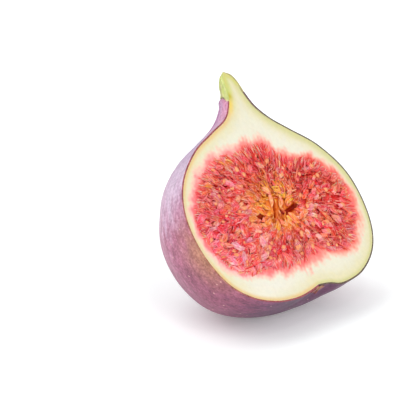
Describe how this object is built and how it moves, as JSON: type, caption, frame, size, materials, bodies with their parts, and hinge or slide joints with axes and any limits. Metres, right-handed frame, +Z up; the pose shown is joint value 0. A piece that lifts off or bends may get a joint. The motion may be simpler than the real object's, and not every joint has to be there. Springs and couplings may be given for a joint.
{
  "type": "halved fresh fig",
  "caption": "Half of a ripe purple fig, cut lengthwise from stem to eye, resting on its rounded skin side with the cut face turned up.",
  "frame": {"origin": "on the surface that the half rests on, under the middle of its bounding box", "axes": "+Z up; the cut face looks up, to the front (-Y) and to the right (+X); the stem points up, back (+Y) and left (-X)"},
  "size_m": [0.0526, 0.0522, 0.0556],
  "materials": {
    "skin": "ripe purple fig skin with a pale lilac bloom, fine lengthwise streaks and small pale pores",
    "flesh": "moist cream flesh of the wall, yellow-green just under the skin",
    "pulp": "wet crimson and pink pulp, translucent, golden towards its middle",
    "seed": "smooth golden-tan seeds under a wet film",
    "stem": "light green stem skin, slightly rough"
  },
  "bodies": {
    "root": {"fig_half": "skin"}
  },
  "joints": []
}
